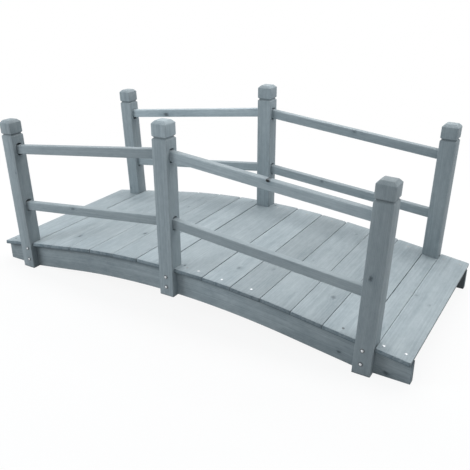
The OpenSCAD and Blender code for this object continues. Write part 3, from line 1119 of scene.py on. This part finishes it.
class BRIDGE_OT_bolts(bpy.types.Operator):
    """Sets a pair of domed bolts with washers in the foot of each post"""

    bl_idname = "bridge.bolts"
    bl_label = "Bolts"

    # Share of a head's height that is upright, and of its radius that is flat on top
    UPRIGHT_SHARE, FLAT_SHARE = 0.25, 0.12
    DOME_STEPS = 5
    EASE = 0.25 * MM

    def execute(self, context):
        fixings = context.scene.bridge_fixings
        pattern = self.pattern(fixings)
        for side, depth in SIDES:
            for place, hand in POST_PLACES:
                heights = ((fixings.mid_low, fixings.mid_high) if place == 0
                           else (fixings.end_low, fixings.end_high))
                shift = fixings.left_shift if place < 0 else fixings.right_shift
                axis = post_place(place)
                for level, z in zip(("lower", "upper"), heights):
                    spot = axis @ Vector((0, 0, (z - axis.translation.z) / axis.col[2].z))
                    bolt = twin(pattern, f"{depth}_{hand}_{level}_bolt")
                    put(bolt, Matrix.Translation((spot.x - place * shift, side * CAD_HIGH.y, z))
                        @ Matrix.Rotation(-side * math.pi / 2, 4, "X"))
                    finish_piece(bolt, stock("bright_zinc"))
        drop(pattern)
        return {"FINISHED"}

    def pattern(self, fixings):
        """Washer and domed head, turned round z."""
        rim = fixings.washer_thickness
        bpy.ops.mesh.primitive_cylinder_add(vertices=28, radius=fixings.washer_radius, depth=rim,
                                            location=(0, 0, rim / 2))
        piece = just_added("bolt_pattern")
        put(piece, piece.matrix_world.copy())
        upright = fixings.head_height * self.UPRIGHT_SHARE
        domed = fixings.head_height - upright
        angles = [math.pi / 2 * i / self.DOME_STEPS for i in range(self.DOME_STEPS + 1)]
        with editing(piece):
            pick_faces(piece, lambda c, n: n.z > 0.9)
            bpy.ops.mesh.inset(thickness=fixings.washer_radius - fixings.head_radius)
            bpy.ops.mesh.extrude_region_move(TRANSFORM_OT_translate={"value": (0, 0, upright)})
            for a, b in zip(angles, angles[1:]):
                rise = domed * (math.sin(b) - math.sin(a))
                bpy.ops.mesh.extrude_region_move(TRANSFORM_OT_translate={"value": (0, 0, rise)})
                shrink = max(math.cos(b), self.FLAT_SHARE) / math.cos(a)
                bpy.ops.transform.resize(value=(shrink, shrink, 1), center_override=(0, 0, 0))
        ease(piece, self.EASE)
        # The washer is marked dull: painted shade round the head
        write_points(piece, "dullness", [(float(p.co.z < rim + HAIR), 0, 0) for p in piece.data.vertices])
        return piece


class BRIDGE_OT_nails(bpy.types.Operator):
    """Drives nails through the ends of the boards into the stringers"""

    bl_idname = "bridge.nails"
    bl_label = "Nails"

    BRIGHT, FADED, WEATHERED = 0.1, 0.45, 1.0
    # Nails at a board's end: place from the board's middle, as a share of its half width, and dullness
    ROWS = {0: ((-0.75, WEATHERED), (1.0, WEATHERED)), 7: ((0.05, WEATHERED), (0.85, BRIGHT)),
            8: ((0.0, BRIGHT),), 9: ((0.0, BRIGHT),), 13: (), 14: ((-1.0, BRIGHT), (0.9, BRIGHT))}
    ONE_NAIL = ((0.0, WEATHERED),)
    # Boards whose nails don't show
    UNSEEN = (1, 2, 3, 4, 5, 6, 10, 11)
    # How far a nail strays along x and y, in millimetres, and how its dullness varies
    STRAY_X, STRAY_Y, WEAR = (-6, 6), (-3, 3), (0.8, 1.1)
    # Shares of a head's radius that is crowned, and of its height that the crown adds
    CROWN_SHARE, CROWN_RISE_SHARE = 0.45, 0.35

    def execute(self, context):
        fixings = context.scene.bridge_fixings
        sizes = context.scene.bridge_frame
        dice = characters("nails")
        pattern = self.pattern(fixings)
        seat = sizes.seat_gap + sizes.board_thickness
        for side, depth in SIDES:
            low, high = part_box(f"stringer_{depth}")
            driven = []
            for i, node in enumerate(BOARDS):
                left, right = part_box(node)
                middle = (left.x + right.x) / 2
                spread = (right.x - left.x) / 2 - fixings.nail_margin
                for share, dullness in self.ROWS.get(i, self.ONE_NAIL):
                    aside = share * spread + dice.uniform(*self.STRAY_X) * MM
                    y = (low.y + high.y) / 2 + dice.uniform(*self.STRAY_Y) * MM
                    dull = (dullness if side < 0 else self.FADED) * dice.uniform(*self.WEAR)
                    if i in self.UNSEEN:
                        continue
                    spot = on_arch(middle) @ Matrix.Translation((aside, 0, seat))
                    nail = twin(pattern, f"{depth}_nail")
                    put(nail, Matrix.Translation((0, y, 0)) @ spot)
                    write_points(nail, "dullness", [(dull, 0, 0)] * len(nail.data.vertices))
                    driven.append(nail)
            only(driven[0])
            for nail in driven:
                nail.select_set(True)
            bpy.ops.object.join()
            finish_piece(just_added(f"{depth}_nails"), stock("bright_zinc"))
        drop(pattern)
        return {"FINISHED"}

    def pattern(self, fixings):
        """Low round head, a little crowned."""
        tall = fixings.nail_height
        bpy.ops.mesh.primitive_cylinder_add(vertices=14, radius=fixings.nail_radius, depth=2 * tall,
                                            location=(0, 0, 0))
        piece = just_added("nail_pattern")
        with editing(piece):
            pick_faces(piece, lambda c, n: n.z > 0.9)
            bpy.ops.mesh.inset(thickness=fixings.nail_radius * self.CROWN_SHARE)
            bpy.ops.transform.translate(value=(0, 0, tall * self.CROWN_RISE_SHARE))
        return piece


class BRIDGE_OT_stage(bpy.types.Operator):
    """Sets up the floor, the soft lamps, the white surroundings and the camera"""

    bl_idname = "bridge.stage"
    bl_label = "Stage"

    # Place, aim and size of each lamp
    LAMPS = {"top": ((0, 1.2, 2.8), (0, 0, 0.1), (5, 2.5)),
             "left": ((-2.27, -1.91, 1.4), (0, 0, 0.2), (1.7, 1.7)),
             "right": ((2.97, 0, 1.4), (0, 0, 0.2), (1.7, 1.7))}
    FLOOR_SIZE, FLOOR_DROP = 24, 0.5 * MM
    # Distances from the bridge between which the floor turns white, and the share of white near it
    WHITE_FROM, WHITE_SHARE = (0.9, 2.4), 0.9
    SENSOR_WIDTH, VIEW_REACH = 36, 100

    def execute(self, context):
        stage = context.scene.bridge_stage
        self.floor(context)
        self.surroundings(context, stage)
        for name, (place, aim, size) in self.LAMPS.items():
            lamp = self.lamp(name, place, aim, size)
            lamp.energy = getattr(stage, f"{name}_power")
            if name != "top":
                lamp.color = stage.fill_tint
        self.camera(context, stage)
        context.scene.view_settings.view_transform = "Standard"
        return {"FINISHED"}

    def floor(self, context):
        """Pale floor that fades to white away from the bridge, and keeps its shadow."""
        bpy.ops.mesh.primitive_plane_add(size=self.FLOOR_SIZE, location=(0, 0, -self.FLOOR_DROP))
        floor = just_added("studio_floor")
        put(floor, floor.matrix_world.copy())
        material, at = new_material("studio_floor")
        place = at.node("ShaderNodeTexCoord", None, None, "Object")
        away = smooth_step(at, size_of(at, place), *self.WHITE_FROM)
        seen = seen_directly(at)
        speckle = noise(at, scaled(at, place, 40.0), 0.0, 3.0)
        shade = mix(at, seen + speckle * 0.02, rgba(context.scene.bridge_finish.floor), WHITE)
        matt = at.node("ShaderNodeBsdfPrincipled", None, {"Base Color": shade, "Roughness": 0.85})
        white = at.node("ShaderNodeEmission", None, {"Color": WHITE, "Strength": 1.0})
        share = seen * (self.WHITE_SHARE + away * (1.0 - self.WHITE_SHARE))
        blend = at.node("ShaderNodeMixShader", None, {0: share, 1: matt, 2: white})
        at.node("ShaderNodeOutputMaterial", None, {"Surface": blend})
        floor.data.materials.append(material)
        floor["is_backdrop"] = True

    def surroundings(self, context, stage):
        """Even light, seen as plain white."""
        world = bpy.data.worlds.new("studio")
        context.scene.world = world
        world.use_nodes = True
        world.node_tree.nodes.clear()
        at = Shade(world.node_tree)
        seen = seen_directly(at)
        power = stage.sky + seen * (1.0 - stage.sky)
        shade = mix(at, seen, rgba(stage.fill_tint), WHITE)
        light = at.node("ShaderNodeBackground", None, {"Color": shade, "Strength": power})
        at.node("ShaderNodeOutputWorld", None, {"Surface": light})

    def lamp(self, name, place, aim, size):
        """Soft lamp that faces its aim."""
        turn = (Vector(aim) - Vector(place)).to_track_quat("-Z", "Y").to_euler()
        bpy.ops.object.light_add(type="AREA", location=place, rotation=turn)
        lamp = just_added(f"{name}_lamp")
        lamp.data.shape = "RECTANGLE"
        lamp.data.size, lamp.data.size_y = size
        return lamp.data

    def camera(self, context, stage):
        """Camera where the bridge was seen from."""
        bpy.ops.object.camera_add(location=stage.camera_place, rotation=stage.camera_turn)
        camera = just_added("photo_camera")
        camera.data.sensor_width = self.SENSOR_WIDTH
        camera.data.lens = stage.lens
        camera.data.shift_x, camera.data.shift_y = stage.shift
        camera.data.clip_end = self.VIEW_REACH
        context.scene.camera = camera


class BRIDGE_PT_build(bpy.types.Panel):
    """Lists the bridge's pieces and sizes"""

    bl_idname = "BRIDGE_PT_build"
    bl_label = "Garden Bridge"
    bl_space_type = "VIEW_3D"
    bl_region_type = "UI"
    bl_category = "Bridge"

    def draw(self, context):
        column = self.layout.column(align=True)
        for operator in OPERATORS:
            column.operator(operator.bl_idname)
        for holder in HOLDERS:
            box = self.layout.box()
            group = getattr(context.scene, holder)
            for name in type(group).__annotations__:
                box.prop(group, name)


GROUPS = {"bridge_frame": BridgeFrameSizes, "bridge_railing": BridgeRailingSizes,
          "bridge_fixings": BridgeFixings, "bridge_finish": BridgeFinish, "bridge_stage": BridgeStage}
HOLDERS = tuple(GROUPS)
OPERATORS = (BRIDGE_OT_stringers, BRIDGE_OT_boards, BRIDGE_OT_posts, BRIDGE_OT_rails, BRIDGE_OT_bolts,
             BRIDGE_OT_nails, BRIDGE_OT_stage)
CLASSES = (*GROUPS.values(), *OPERATORS, BRIDGE_PT_build)


def register():
    for item in CLASSES:
        bpy.utils.register_class(item)
    for holder, group in GROUPS.items():
        setattr(bpy.types.Scene, holder, PointerProperty(type=group))


def unregister():
    for holder in reversed(HOLDERS):
        delattr(bpy.types.Scene, holder)
    for item in reversed(CLASSES):
        bpy.utils.unregister_class(item)


def main():
    register()
    bpy.ops.bridge.stringers()
    bpy.ops.bridge.boards()
    bpy.ops.bridge.posts()
    bpy.ops.bridge.rails()
    bpy.ops.bridge.bolts()
    bpy.ops.bridge.nails()
    bpy.ops.bridge.stage()
    low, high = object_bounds()
    {"cad": [list(CAD_LOW), list(CAD_HIGH)], "visual": [list(low), list(high)]}


if __name__ == "__main__":
    main()
